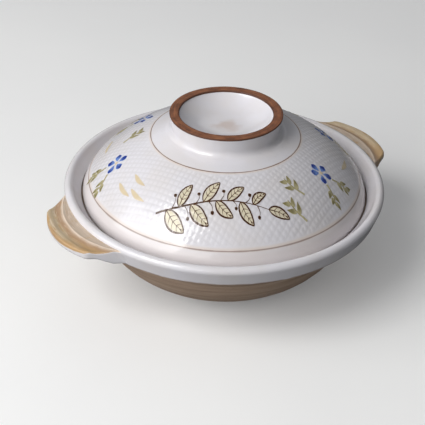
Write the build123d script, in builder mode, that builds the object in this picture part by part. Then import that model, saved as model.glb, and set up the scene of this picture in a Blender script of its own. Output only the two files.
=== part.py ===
import os
from math import asin, cos, degrees, hypot, sqrt

from build123d import *

# Donabe: a lidded clay pot with two lug handles.
# Millimetres, +Z up, the handles on the X axis, the origin on the table under the pot's centre.
# Profiles are half sections, (radius, height), turned about Z as on a wheel.

# Pot, from the table up
foot_radius = 62.0  # outside of the foot ring
foot_width = 6.0  # width of the ring that stands on the table
foot_height = 4.0
foot_hollow = 3.0  # depth of the hollow inside the ring
foot_edge = 0.8  # rounding of the ring's edges
flange_width = 22.2  # from the belly's end out to the rim's widest circle
belly_height = 54.2  # the belly ends under the flange
belly_bulge = 8.8  # how far the belly swells past a straight side
shoulder_fillet = 6.0  # soft corner between the belly and the flange
wall = 7.5
floor_radius = 48.0  # flat part of the floor inside

# Rim, measured from its crest
rim_radius = 135.0
rim_height = 84.0  # the crest above the table
crest_setback = 3.6  # crest inside the rim's widest circle
rim_drop = 4.4  # crest down to the widest circle
band_height = 16.2  # crest down to the band's lower edge
band_undercut = 3.8  # lower edge inside the widest circle
lip_width = 7.0  # widest circle in to where the lip starts down to the lid
lip_drop = 1.7  # crest down to that edge
lip_slope_width = 6.7  # from there in to the gallery's side
lip_hollow = 0.6  # hollow of that slope

# Gallery: the ledge that carries the lid
gallery_depth = 13.0  # crest down to the ledge
gallery_wall = 3.0  # upright part of the gallery's side
gallery_clearance = 1.3  # play round the lid
ledge_margin = 2.4  # ledge reaching in past the lid's seat

# Lid, measured from the ledge
lid_seat_width = 7.2  # bare ring that stands on the ledge
lid_skirt = 3.5  # upright edge above the ledge
lid_wall = 6.2
dome_edge_width = 5.5  # lid's edge in to the circle where the dome starts
dome_edge_rise = 15.7  # ledge up to that circle
dome_curvature = 154.8  # the dome is part of a sphere of this radius
land_radius = 42.0  # flat seat turned for the knob
land_recess = 2.0  # depth of that seat

# Knob: a shallow cup on a hollow flare, measured from its seat
knob_radius = 46.7
knob_height = 15.5
knob_rim_width = 8.0  # bare top face of the ring
knob_edge = 0.8  # rounding of the ring's edges
knob_taper = 1.7  # the outside is this much narrower at its foot
knob_flare = 4.4  # hollow corner out to the dome
knob_flare_rise = 4.6
cup_floor = 2.7  # clay under the cup
cup_floor_radius = 12.0  # flat middle of the cup
cup_lip = 1.6  # upright inner edge under the top face
cup_lip_taper = 0.5

# Steam hole in the dome, behind the knob
steam_hole_diameter = 6.0
steam_hole_radius = 84.0  # distance from the lid's centre

# Handles
handle_length = 23.5  # from the rim's widest circle out to the tip
handle_tip_width = 69.0  # between the corners of the tip
handle_root_width = 99.0  # between the sides where they meet the rim
handle_tip_bow = 9.5  # how far the tip's curve stands out past its corners
handle_corner_radius = 9.0
handle_flare_radius = 14.0  # hollow corners against the rim
handle_set_in = 2.5  # depth of the flares' cone under the rim's face
handle_drop = 3.5  # the rim's crest down to the handle's top
handle_slope = 1.0  # the top falls this much towards the tip
handle_thickness = 7.0  # at the tip
handle_edge_radius = 1.6
handle_under_reach = 11.0  # slanted part of the underside, out from the rim
handle_ridge_inset = 14.0  # tip in to the pressed ridge
handle_ridge_radius = 73.0  # the ridge's curve seen from above
handle_groove_width = 9.0
handle_groove_depth = 1.1

# Glaze fused on the clay, the bare foot under the lid's glaze and the bare edge over the knob's
glaze = 0.5
bare_foot = 1.5
bare_edge = 1.4

# Sizes that follow from the ones above
belly_radius = rim_radius - flange_width
floor_height = foot_height + wall
inner_belly = (belly_radius - wall, belly_height)
band_edge = (rim_radius - band_undercut, rim_height - band_height)
rim_edge = (rim_radius, rim_height - rim_drop)
rim_crest = (rim_radius - crest_setback, rim_height)
lip_edge = (rim_radius - lip_width, rim_height - lip_drop)
ledge_height = rim_height - gallery_depth
gallery_radius = lip_edge[0] - lip_slope_width
gallery_top = (gallery_radius, ledge_height + gallery_wall)
lid_radius = gallery_radius - gallery_clearance
dome_radius = lid_radius - dome_edge_width
seat_radius = lid_radius - lid_seat_width
ledge_radius = seat_radius - ledge_margin
skirt_height = ledge_height + lid_skirt
dome_centre = ledge_height + dome_edge_rise - sqrt(dome_curvature**2 - dome_radius**2)
land_height = dome_centre + sqrt(dome_curvature**2 - land_radius**2) - land_recess
inner_curvature = dome_curvature - lid_wall
inner_dome_radius = dome_radius * inner_curvature / dome_curvature
inner_land_height = land_height - lid_wall
inner_land_radius = sqrt(inner_curvature**2 - (inner_land_height - dome_centre) ** 2)
handle_reach = rim_radius + handle_length
band_lean = band_undercut / (band_height - rim_drop)
handle_top = rim_height - handle_drop
handle_tip_top = handle_top - handle_slope
handle_tip_under = handle_tip_top - handle_thickness
handle_corner = handle_reach - handle_tip_bow
handle_root = sqrt(band_edge[0] ** 2 - (handle_root_width / 2) ** 2)
handle_start = handle_root - handle_flare_radius
handle_spread = (handle_root_width - handle_tip_width) / (handle_corner - handle_root)
handle_start_width = handle_root_width + handle_spread * (handle_root - handle_start)
handle_incline = handle_slope / (handle_reach - band_edge[0])
groove_curve = ((handle_groove_width / 2) ** 2 + handle_groove_depth**2) / (2 * handle_groove_depth)
groove_middle = handle_ridge_radius + handle_groove_width / 2
groove_centre = handle_reach - handle_ridge_inset - handle_ridge_radius
groove_height = (
    handle_top - handle_incline * (groove_centre + groove_middle - band_edge[0]) - handle_groove_depth
)
knob_top = land_height + knob_height
glaze_top = knob_top - bare_edge
cup_radius = knob_radius - knob_rim_width
cup_edge = (cup_radius - cup_lip_taper, knob_top - cup_lip)
margin = flange_width
level = (1, 0)


def dome_point(radius, curvature=dome_curvature):
    """The point of the dome's face, or of the hollow under it, at a distance from the lid's axis."""
    return (radius, dome_centre + sqrt(curvature**2 - radius**2))


def dome_line(start, end, curvature=dome_curvature):
    """The dome's curve, or the hollow's, from one distance from the axis out to another."""
    return ThreePointArc(*[dome_point(radius, curvature) for radius in (start, (start + end) / 2, end)])


knob_foot = knob_radius - knob_taper
flare_top = (knob_foot, dome_point(knob_foot)[1] + knob_flare_rise)
flare_foot = dome_point(knob_foot + knob_flare)


def glaze_strip(space, body):
    """The strip of a body's section, one glaze coat thick, along the side that a free space touches."""
    with BuildSketch(Plane.XZ) as strip:
        add(space)
        offset(amount=glaze)
        add(space, mode=Mode.SUBTRACT)
        add(body.sketch_local, mode=Mode.INTERSECT)
    return strip


def write(piece, name):
    """Label a finished piece and write its file."""
    piece.part.label = name
    export_step(piece.part, f"parts/{name}.step")


os.makedirs("parts", exist_ok=True)

# Outlines of the pot: the white rim from its lower edge in to the ledge, and the basin
with BuildLine() as rim_outline:
    Line(band_edge, rim_edge)
    ThreePointArc(rim_edge, rim_crest, lip_edge)
    SagittaArc(lip_edge, gallery_top, lip_hollow)
    Line(gallery_top, (gallery_radius, ledge_height))

with BuildLine() as basin_outline:
    Line((ledge_radius, ledge_height), inner_belly)
    TangentArc((floor_radius, floor_height), inner_belly, tangent=level)
    Line((floor_radius, floor_height), (0, floor_height))

with BuildSketch(Plane.XZ) as pot_section:
    with BuildLine():
        add(rim_outline.line)
        Line((gallery_radius, ledge_height), (ledge_radius, ledge_height))
        add(basin_outline.line)
        Polyline(
            (0, floor_height),
            (0, foot_hollow),
            (foot_radius - foot_width, foot_hollow),
            (foot_radius - foot_width, 0),
            (foot_radius, 0),
            (foot_radius, foot_height),
        )
        SagittaArc((foot_radius, foot_height), (belly_radius, belly_height), -belly_bulge)
        Line((belly_radius, belly_height), band_edge)
    make_face()
    fillet(pot_section.vertices().group_by(Axis.Y)[0], foot_edge)
    shoulder = pot_section.vertices().sort_by_distance((belly_radius, belly_height))[0]
    fillet(shoulder, shoulder_fillet)

# Free spaces beside the glazed faces of the pot
with BuildSketch(Plane.XZ) as rim_space:
    with BuildLine():
        add(rim_outline.line)
        Polyline(
            (gallery_radius, ledge_height),
            (ledge_radius, rim_height + margin),
            (rim_radius + margin, rim_height + margin),
            (rim_radius + margin, band_edge[1]),
            band_edge,
        )
    make_face()

with BuildSketch(Plane.XZ) as basin_space:
    with BuildLine():
        add(basin_outline.line)
        Polyline((0, floor_height), (0, ledge_height), (ledge_radius, ledge_height))
    make_face()

rim_strip = glaze_strip(rim_space.sketch_local, pot_section)
basin_strip = glaze_strip(basin_space.sketch_local, pot_section)

# Pot
with BuildPart() as pot_bowl:
    with BuildSketch(Plane.XZ):
        add(pot_section.sketch_local)
        add(rim_strip.sketch_local, mode=Mode.SUBTRACT)
        add(basin_strip.sketch_local, mode=Mode.SUBTRACT)
    revolve(axis=Axis.Z)

with BuildPart() as basin_glaze:
    revolve(basin_strip.sketch, axis=Axis.Z)

with BuildPart() as rim_glaze:
    revolve(rim_strip.sketch, axis=Axis.Z)

with BuildPart() as glazed_pot:
    revolve(pot_section.sketch, axis=Axis.Z)

write(pot_bowl, "pot_bowl")
write(basin_glaze, "basin_glaze")
write(rim_glaze, "rim_glaze")


def handle_tab(inset):
    """The handle's outline seen from above, inset on its sides, raised into a block flared onto the rim."""
    with BuildPart() as tab:
        with BuildSketch(Plane.XY.offset(band_edge[1])):
            with BuildLine():
                Polyline(
                    (handle_corner, handle_tip_width / 2),
                    (handle_start, handle_start_width / 2),
                    (handle_start, -handle_start_width / 2),
                    (handle_corner, -handle_tip_width / 2),
                )
                ThreePointArc(
                    (handle_corner, -handle_tip_width / 2),
                    (handle_reach, 0),
                    (handle_corner, handle_tip_width / 2),
                )
            make_face()
            if inset:
                offset(amount=-inset)
        extrude(amount=band_height)
        fillet(tab.edges().filter_by(Axis.Z).group_by(Axis.X)[-1], handle_corner_radius - inset)
        with BuildSketch(Plane.XZ):
            with BuildLine():
                Polyline(
                    (0, band_edge[1]),
                    (band_edge[0] - handle_set_in, band_edge[1]),
                    (band_edge[0] - handle_set_in + band_lean * band_height, rim_height),
                    (0, rim_height),
                    (0, band_edge[1]),
                )
            make_face()
        revolve(axis=Axis.Z)
        roots = [(handle_root, side * handle_root_width / 2, handle_top) for side in (-1, 1)]
        fillet([tab.edges().sort_by_distance(root)[0] for root in roots], handle_flare_radius + inset)
    return tab


# Handle with its glaze still on, luted to the rim
with BuildPart() as lug:
    add(handle_tab(0).part)
    with BuildSketch(Plane.XZ):
        with BuildLine():
            Polyline(
                (handle_start, handle_top + handle_incline * (band_edge[0] - handle_start)),
                (handle_reach + margin, handle_tip_top - handle_incline * margin),
                (handle_reach + margin, handle_tip_under),
                (band_edge[0] + handle_under_reach, handle_tip_under),
                band_edge,
                (handle_start, band_edge[1]),
                (handle_start, handle_top + handle_incline * (band_edge[0] - handle_start)),
            )
        make_face()
    extrude(amount=handle_root_width, both=True, mode=Mode.INTERSECT)
    sides = lug.edges().filter_by(lambda edge: edge.center().X > handle_root)
    top_edges = sides.filter_by(lambda edge: edge.center().Z > handle_tip_top - handle_slope)
    fillet(top_edges.filter_by(lambda edge: edge.length > handle_thickness / 2), handle_edge_radius)
    with Locations((groove_centre, 0, groove_height + groove_curve)):
        Torus(groove_middle, groove_curve, mode=Mode.SUBTRACT)
    Cylinder(lip_edge[0], 4 * rim_height, mode=Mode.SUBTRACT)
    add(glazed_pot.part, mode=Mode.SUBTRACT)

with BuildPart() as handle_right:
    add(lug.part)
    add(handle_tab(glaze).part, mode=Mode.INTERSECT)

with BuildPart() as handle_glaze_right:
    add(lug.part)
    add(handle_right.part, mode=Mode.SUBTRACT)

with BuildPart() as handle_left:
    add(handle_right.part, rotation=(0, 0, 180))

with BuildPart() as handle_glaze_left:
    add(handle_glaze_right.part, rotation=(0, 0, 180))

write(handle_right, "handle_right")
write(handle_left, "handle_left")
write(handle_glaze_right, "handle_glaze_right")
write(handle_glaze_left, "handle_glaze_left")

# Sections of the lid and its knob
with BuildSketch(Plane.XZ) as lid_section:
    with BuildLine():
        Polyline((0, land_height), (land_radius, land_height), dome_point(land_radius))
        dome_line(land_radius, dome_radius)
        TangentArc(
            dome_point(dome_radius),
            (lid_radius, skirt_height),
            tangent=(dome_point(dome_radius)[1] - dome_centre, -dome_radius),
        )
        Polyline(
            (lid_radius, skirt_height),
            (lid_radius, ledge_height),
            (seat_radius, ledge_height),
            (seat_radius, skirt_height),
        )
        TangentArc(
            dome_point(inner_dome_radius, inner_curvature),
            (seat_radius, skirt_height),
            tangent=(dome_point(dome_radius)[1] - dome_centre, -dome_radius),
        )
        dome_line(inner_land_radius, inner_dome_radius, inner_curvature)
        Polyline((inner_land_radius, inner_land_height), (0, inner_land_height), (0, land_height))
    make_face()

with BuildSketch(Plane.XZ) as knob_section:
    with BuildLine():
        Polyline((cup_radius, knob_top), (knob_radius, knob_top), flare_top)
        TangentArc(flare_top, flare_foot, tangent=(-knob_taper, flare_top[1] - knob_top))
        Polyline(
            flare_foot,
            (flare_foot[0], flare_foot[1] - lid_wall / 2),
            (0, land_height - lid_wall / 2),
            (0, land_height + cup_floor),
            (cup_floor_radius, land_height + cup_floor),
        )
        TangentArc((cup_floor_radius, land_height + cup_floor), cup_edge, tangent=level)
        Line(cup_edge, (cup_radius, knob_top))
    make_face()
    fillet(knob_section.vertices().group_by(Axis.Y)[-1], knob_edge)
    add(lid_section.sketch_local, mode=Mode.SUBTRACT)

# Free spaces over, in and under the lid, and the coats they leave on it
with BuildSketch(Plane.XZ) as lid_spaces:
    with BuildLine():
        Polyline(
            (0, ledge_height + bare_foot),
            (rim_radius, ledge_height + bare_foot),
            (rim_radius, glaze_top),
            (0, glaze_top),
            (0, ledge_height + bare_foot),
        )
    make_face()
    add(lid_section.sketch_local, mode=Mode.SUBTRACT)
    add(knob_section.sketch_local, mode=Mode.SUBTRACT)

with BuildSketch(Plane.XZ) as lid_and_knob:
    add(lid_section.sketch_local)
    add(knob_section.sketch_local)

cup_space, hollow_space, outer_space = lid_spaces.sketch_local.faces().sort_by(Axis.X)
outer_strip = glaze_strip(outer_space, lid_and_knob)
hollow_strip = glaze_strip(hollow_space, lid_section)
cup_strip = glaze_strip(cup_space, knob_section)

# Steam hole, square to the dome
steam_hole_height = dome_point(steam_hole_radius)[1]
steam_hole_plane = Plane(
    origin=(0, steam_hole_radius, steam_hole_height),
    z_dir=(0, steam_hole_radius, steam_hole_height - dome_centre),
)
with BuildPart(steam_hole_plane) as steam_hole:
    Cylinder(steam_hole_diameter / 2, 4 * lid_wall)

# Lid
with BuildPart() as lid:
    with BuildSketch(Plane.XZ):
        add(lid_section.sketch_local)
        add(outer_strip.sketch_local, mode=Mode.SUBTRACT)
        add(hollow_strip.sketch_local, mode=Mode.SUBTRACT)
    revolve(axis=Axis.Z)
    add(steam_hole.part, mode=Mode.SUBTRACT)

with BuildPart() as lid_glaze:
    revolve(outer_strip.sketch, axis=Axis.Z)
    add(steam_hole.part, mode=Mode.SUBTRACT)

with BuildPart() as lid_lining_glaze:
    revolve(hollow_strip.sketch, axis=Axis.Z)
    add(steam_hole.part, mode=Mode.SUBTRACT)

# Knob
with BuildPart() as knob:
    with BuildSketch(Plane.XZ):
        add(knob_section.sketch_local)
        add(outer_strip.sketch_local, mode=Mode.SUBTRACT)
        add(cup_strip.sketch_local, mode=Mode.SUBTRACT)
    revolve(axis=Axis.Z)

with BuildPart() as knob_cup_glaze:
    revolve(cup_strip.sketch, axis=Axis.Z)

write(lid, "lid")
write(lid_glaze, "lid_glaze")
write(lid_lining_glaze, "lid_lining_glaze")
write(knob, "knob")
write(knob_cup_glaze, "knob_cup_glaze")
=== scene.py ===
"""Donabe clay pot: its thrown and glazed pieces, their painting and a plain studio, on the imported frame.

Outlines are half sections, (radius, height), turned about the wheel's axis. Sizes here are in
millimetres unless they say otherwise, and new_piece makes them metres.
"""

from math import asin, atan2, cos, hypot, pi, radians, sin, sqrt

import bpy
import numpy as np
from mathutils import Matrix, Vector


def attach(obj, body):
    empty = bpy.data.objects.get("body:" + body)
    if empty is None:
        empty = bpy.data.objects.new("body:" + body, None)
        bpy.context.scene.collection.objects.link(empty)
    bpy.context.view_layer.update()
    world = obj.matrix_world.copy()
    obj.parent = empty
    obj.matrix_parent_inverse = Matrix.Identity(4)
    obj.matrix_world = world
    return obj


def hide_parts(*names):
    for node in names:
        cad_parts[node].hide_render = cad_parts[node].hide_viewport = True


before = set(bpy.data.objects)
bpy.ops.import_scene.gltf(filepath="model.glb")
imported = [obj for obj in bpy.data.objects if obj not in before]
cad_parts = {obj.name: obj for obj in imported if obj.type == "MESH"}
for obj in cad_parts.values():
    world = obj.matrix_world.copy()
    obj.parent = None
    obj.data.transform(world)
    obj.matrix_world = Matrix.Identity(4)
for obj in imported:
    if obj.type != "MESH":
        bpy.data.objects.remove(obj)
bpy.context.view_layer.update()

bl_info = {
    "name": "Donabe clay pot",
    "version": (1, 0, 0),
    "blender": (4, 5, 0),
    "location": "View3D > Sidebar > Donabe",
    "description": "Builds a lidded clay pot piece by piece on its packed frame",
    "category": "Add Mesh",
}

MM = 0.001

# Pot
FOOT = 62.0
FOOT_WIDTH = 6.0
FOOT_HEIGHT = 4.0
FOOT_HOLLOW = 3.0
BELLY_END = (112.8, 54.2)
BELLY_BULGE = 8.8
FLANGE_TURN = 5.0
WALL = 7.5
FLOOR = (48.0, 11.5)
BAND_EDGE = (131.2, 67.8)
RIM_EDGE = (135.0, 79.6)
RIM_CREST = (131.4, 84.0)
LIP_EDGE = (128.0, 82.3)
GALLERY = (121.3, 74.0)
LEDGE = 71.0
LEDGE_INNER = 110.4

# Lid and knob
LID_EDGE = 120.0
SEAT_INNER = 112.8
SKIRT = 74.5
BARE_FOOT = 1.5
FOOT_INSET = 0.1
DOME_EDGE = 114.5
COLLAR = 61.95
DOME_ARC = 123.0
DOME_ARC_OUT = 18.9
DOME_ARC_UP = 9.2
LID_WALL = 6.2
LAND = (42.0, 129.5)
KNOB_TOP = 145.0
KNOB = 46.7
KNOB_FOOT = 45.0
FLARE_WIDTH = 4.8
FLARE_HEIGHT = 133.6
CUP = 38.7
CUP_EDGE = (38.2, 143.4)
BARE_EDGE = 1.4
CUP_FLOOR = (12.0, 132.2)
STEAM_HOLE = (84.0, 6.0)

# Handles, seen from above along their own axis
TIP = 158.5
TIP_CORNER = (149.0, 34.5)
ROOT_CORNER = (121.5, 49.5)
CORNER_ROUND = 9.0
FLARE_ROUND = 14.0
HANDLE_TOP = 80.5
HANDLE_FALL = 1.0 / 27.3
HANDLE_UNDER = 72.5
UNDER_REACH = 142.2
RIDGE_CENTRE = 71.5
RIDGE_ROUND = 73.0
GROOVE_WIDTH = 9.0
GROOVE_DEPTH = 1.1
TOP_ROOT = 129.0
UNDER_ROOT = 127.0
TOP_ROUND = 1.6
UNDER_ROUND = 2.6
RIDGE_HEIGHT = 0.35
RIDGE_WIDTH = 0.9
RIDGE_INSET = 0.8
COMB_DEPTH = 0.05
COMB_PITCH = 1.7

# Glaze, clay and paint
COAT = 0.5
CLAY_INSET = 0.15
SLACK = 0.1
EDGE_ROUND = 0.8
RAGGED_REACH = 1.2
THROWING_PITCH = 5.2
CLOTH_TURN = radians(25.7)
PAINT_FILM = 0.1
BRUSH_STEP = 0.8


# Outlines


def through(start, middle, end, steps):
    """Points on the circular arc from one point through another to a third, both ends kept."""
    (ax, ay), (bx, by), (cx, cy) = start, middle, end
    twice_area = 2 * (ax * (by - cy) + bx * (cy - ay) + cx * (ay - by))
    a, b, c = ax * ax + ay * ay, bx * bx + by * by, cx * cx + cy * cy
    centre_x = (a * (by - cy) + b * (cy - ay) + c * (ay - by)) / twice_area
    centre_y = (a * (cx - bx) + b * (ax - cx) + c * (bx - ax)) / twice_area
    first, halfway, last = (atan2(y - centre_y, x - centre_x) for x, y in (start, middle, end))
    turn = (last - first) % (2 * pi)
    if (halfway - first) % (2 * pi) > turn:
        turn -= 2 * pi
    radius = hypot(ax - centre_x, ay - centre_y)
    angles = [first + turn * i / steps for i in range(steps + 1)]
    return [(centre_x + radius * cos(angle), centre_y + radius * sin(angle)) for angle in angles]


def bow(start, end, rise, steps):
    """Points on the arc between two points whose middle stands to the left of the way by rise."""
    dx, dy = end[0] - start[0], end[1] - start[1]
    length = hypot(dx, dy)
    middle = ((start[0] + end[0]) / 2 - dy / length * rise, (start[1] + end[1]) / 2 + dx / length * rise)
    return through(start, middle, end, steps)


def leaving(start, way, end, steps):
    """Points on the arc that leaves a point in a given direction and ends at another point."""
    dx, dy = end[0] - start[0], end[1] - start[1]
    turn = atan2(way[0] * dy - way[1] * dx, way[0] * dx + way[1] * dy)
    length = hypot(dx, dy)
    rise = -length / 2 * (1 - cos(turn)) / sin(turn) if abs(turn) > 1e-6 else 0.0
    return bow(start, end, rise, steps)


def run(start, end, steps):
    """Points on a straight line, both ends kept."""
    return [tuple(np.add(start, np.subtract(end, start) * i / steps)) for i in range(steps + 1)]


def joined(*stretches):
    """One outline from stretches that meet end to end."""
    outline = []
    for stretch in stretches:
        for point in stretch:
            if not outline or hypot(point[0] - outline[-1][0], point[1] - outline[-1][1]) > 1e-4:
                outline.append(tuple(point))
    return outline


def outline_normals(points, closed=False):
    """Unit normals to the right of the way along an outline."""
    p = np.asarray(points, float)
    if closed:
        way = np.roll(p, -1, 0) - np.roll(p, 1, 0)
    else:
        way = np.gradient(p, axis=0)
    way /= np.maximum(np.linalg.norm(way, axis=1), 1e-9)[:, None]
    return np.stack([way[:, 1], -way[:, 0]], 1)


def sunk(points, depth):
    """The outline moved to the left of its way by a depth."""
    moved = np.asarray(points, float) - outline_normals(points) * depth
    moved[:, 0] = np.maximum(moved[:, 0], 0)
    return [tuple(point) for point in moved]


def softened(points):
    """A closed outline whose sharp corners are rounded."""
    steps = 3
    p = [np.asarray(point, float) for point in points]
    rounded = []
    for before, corner, after in zip(p[-1:] + p[:-1], p, p[1:] + p[:1]):
        back, ahead = before - corner, after - corner
        before_length, after_length = np.linalg.norm(back), np.linalg.norm(ahead)
        straight = np.dot(back, ahead) / (before_length * after_length) < -0.9
        if straight or corner[0] < 1e-6:
            rounded.append(corner)
            continue
        cut = min(EDGE_ROUND, before_length / 2.2, after_length / 2.2)
        first, last = corner + back / before_length * cut, corner + ahead / after_length * cut
        for i in range(steps + 1):
            t = i / steps
            rounded.append(first * (1 - t) ** 2 + 2 * corner * t * (1 - t) + last * t * t)
    return [tuple(point) for point in rounded]


def past(outline, radius):
    """The index of an outline's first point that is further out than a radius."""
    return next(i for i, (r, _) in enumerate(outline) if r > radius)


def dome_height(radius, depth=0.0):
    """Height of the dome's face, or of one at a depth under it."""
    return DOME_ARC_UP + sqrt((DOME_ARC - depth) ** 2 - (radius - DOME_ARC_OUT) ** 2)


# Meshes


def new_piece(name, vertices, faces, material, body, slot, *nodes):
    """A smooth-shaded mesh in millimetres that rides on a body and stands for CAD nodes."""
    mesh = bpy.data.meshes.new(name)
    mesh.from_pydata(np.asarray(vertices, float) * MM, [], faces)
    mesh.validate()
    mesh.update()
    mesh.shade_smooth()
    mesh.set_sharp_from_angle(angle=radians(40))
    mesh.materials.append(material)
    piece = bpy.data.objects.new(name, mesh)
    bpy.context.scene.collection.objects.link(piece)
    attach(piece, body)
    if nodes:
        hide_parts(*nodes)
    return piece


def turned(outline, turns, relief=None):
    """Vertices and faces of a closed outline turned about the axis, its face lifted by a relief."""
    p = np.asarray(outline, float)
    area = np.sum(p[:, 0] * np.roll(p[:, 1], -1) - np.roll(p[:, 0], -1) * p[:, 1])
    if area < 0:
        p = p[::-1]
    normals = outline_normals(p, closed=True)
    angles = np.arange(turns) * 2 * pi / turns
    r, z = np.repeat(p[:, :1], turns, 1), np.repeat(p[:, 1:], turns, 1)
    if relief:
        lift = relief(r, z, normals[:, :1], normals[:, 1:], angles[None, :])
        r, z = r + normals[:, :1] * lift, z + normals[:, 1:] * lift
    grid = np.stack([r * np.cos(angles), r * np.sin(angles), z], -1)
    on_axis = p[:, 0] < 1e-6
    index, vertices = [], []
    for row, single in zip(grid, on_axis):
        start = len(vertices)
        if single:
            vertices.append(row[0])
            index.append([start] * turns)
        else:
            vertices.extend(row)
            index.append(list(range(start, start + turns)))
    faces = []
    for a, b in zip(index, index[1:] + index[:1]):
        for i in range(turns):
            j = (i + 1) % turns
            corners = list(dict.fromkeys((a[i], a[j], b[j], b[i])))
            if len(corners) > 2:
                faces.append(corners)
    return vertices, faces


def looped(rows):
    """Vertices and faces of a tube whose rows are closed loops of equal count, with both ends capped."""
    rows = [np.asarray(row, float) for row in rows]
    count = len(rows[0])
    vertices = np.concatenate(rows)
    faces = []
    for k in range(len(rows) - 1):
        for i in range(count):
            j = (i + 1) % count
            faces.append([k * count + i, k * count + j, (k + 1) * count + j, (k + 1) * count + i])
    faces.append(list(range(count))[::-1])
    last = (len(rows) - 1) * count
    faces.append([last + i for i in range(count)])
    return vertices, faces


def mark(piece, name, values):
    """Writes a number for each vertex of a piece, under a name that its material reads."""
    made = piece.data.attributes.new(name, "FLOAT", "POINT")
    made.data.foreach_set("value", np.array(values, np.float32))


def pierced(piece):
    """Cuts the lid's steam hole through a piece."""
    radius, width = STEAM_HOLE
    slope = asin((radius - DOME_ARC_OUT) / DOME_ARC)
    circle = [(width / 2 * cos(a), width / 2 * sin(a)) for a in np.arange(48) * 2 * pi / 48]
    vertices, faces = looped([[(x, y, z) for x, y in circle] for z in (-20.0, 20.0)])
    place = Matrix.Translation((0, radius, dome_height(radius))) @ Matrix.Rotation(-slope, 4, "X")
    mesh = bpy.data.meshes.new("steam_hole")
    mesh.from_pydata([tuple((place @ Vector(v)) * MM) for v in vertices], [], faces)
    drill = bpy.data.objects.new("steam_hole", mesh)
    bpy.context.scene.collection.objects.link(drill)
    cut = piece.modifiers.new("steam_hole", "BOOLEAN")
    cut.operation, cut.solver, cut.object = "DIFFERENCE", "EXACT", drill
    graph = bpy.context.evaluated_depsgraph_get()
    holed = bpy.data.meshes.new_from_object(piece.evaluated_get(graph))
    piece.modifiers.clear()
    piece.data = holed
    bpy.data.objects.remove(drill)
    return piece


# Small seeded waves that stand in for the hand on the wheel and the brush


def wander(angles, seed, orders):
    """A smooth, closed, repeatable wave of an angle."""
    rng = np.random.default_rng(seed)
    total = np.zeros_like(angles)
    for order in orders:
        total = total + np.sin(order * angles + rng.uniform(0, 2 * pi)) / order**0.7
    return total / len(orders)


def ragged(vertices, height, size, seed):
    """Vertices whose rows near a height wander up and down, as the end of a dipped glaze does."""
    moved = np.array(vertices, float)
    near = np.clip(1 - np.abs(moved[:, 2] - height) / RAGGED_REACH, 0, 1)
    waver = wander(np.arctan2(moved[:, 1], moved[:, 0]), seed, (3, 7, 12, 19, 31))
    moved[:, 2] += size * near * waver * 2
    return moved


def cloth_relief(settings):
    """Relief of the cloth that was pressed into the dome between its two lines."""
    pitch, depth = settings.cloth_pitch / MM, settings.cloth_depth / MM
    c, s = cos(CLOTH_TURN), sin(CLOTH_TURN)

    def relief(r, z, nr, nz, angles):
        x, y = r * np.cos(angles), r * np.sin(angles)
        u = x * c + y * s + 0.5 * np.sin(y / 31) + 0.25 * np.sin(x / 13)
        v = -x * s + y * c + 0.5 * np.sin(x / 27) + 0.25 * np.sin(y / 11)
        weave = -(np.maximum(np.cos(2 * pi * u / pitch), np.cos(2 * pi * v / pitch)) ** 3)
        inside = np.clip((r - COLLAR - 1.5) / 2, 0, 1) * np.clip((DOME_EDGE - 1.5 - r) / 2, 0, 1)
        patchy = 0.75 + 0.25 * np.sin(x / 19 + 1) * np.sin(y / 23)
        return weave * depth * inside * patchy * (nz > 0.2)

    return relief


def throwing_relief(depth, low, high):
    """Rings that the thrower's fingers left on an outside wall between two heights."""

    def relief(r, z, nr, nz, angles):
        rng = np.random.default_rng(4)
        rings = np.zeros_like(z + angles)
        for share in (1.0, 0.63, 0.41):
            phase, lean = rng.uniform(0, 2 * pi), rng.uniform(-0.5, 0.5)
            wave = 2 * pi * z / (THROWING_PITCH * share) + phase + lean * np.sin(angles + phase)
            rings = rings + np.sin(wave) * share
        inside = np.clip((z - low) / 3, 0, 1) * np.clip((high - z) / 3, 0, 1)
        return rings / 2 * depth * inside * (nr > 0.15)

    return relief


# Materials


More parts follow.
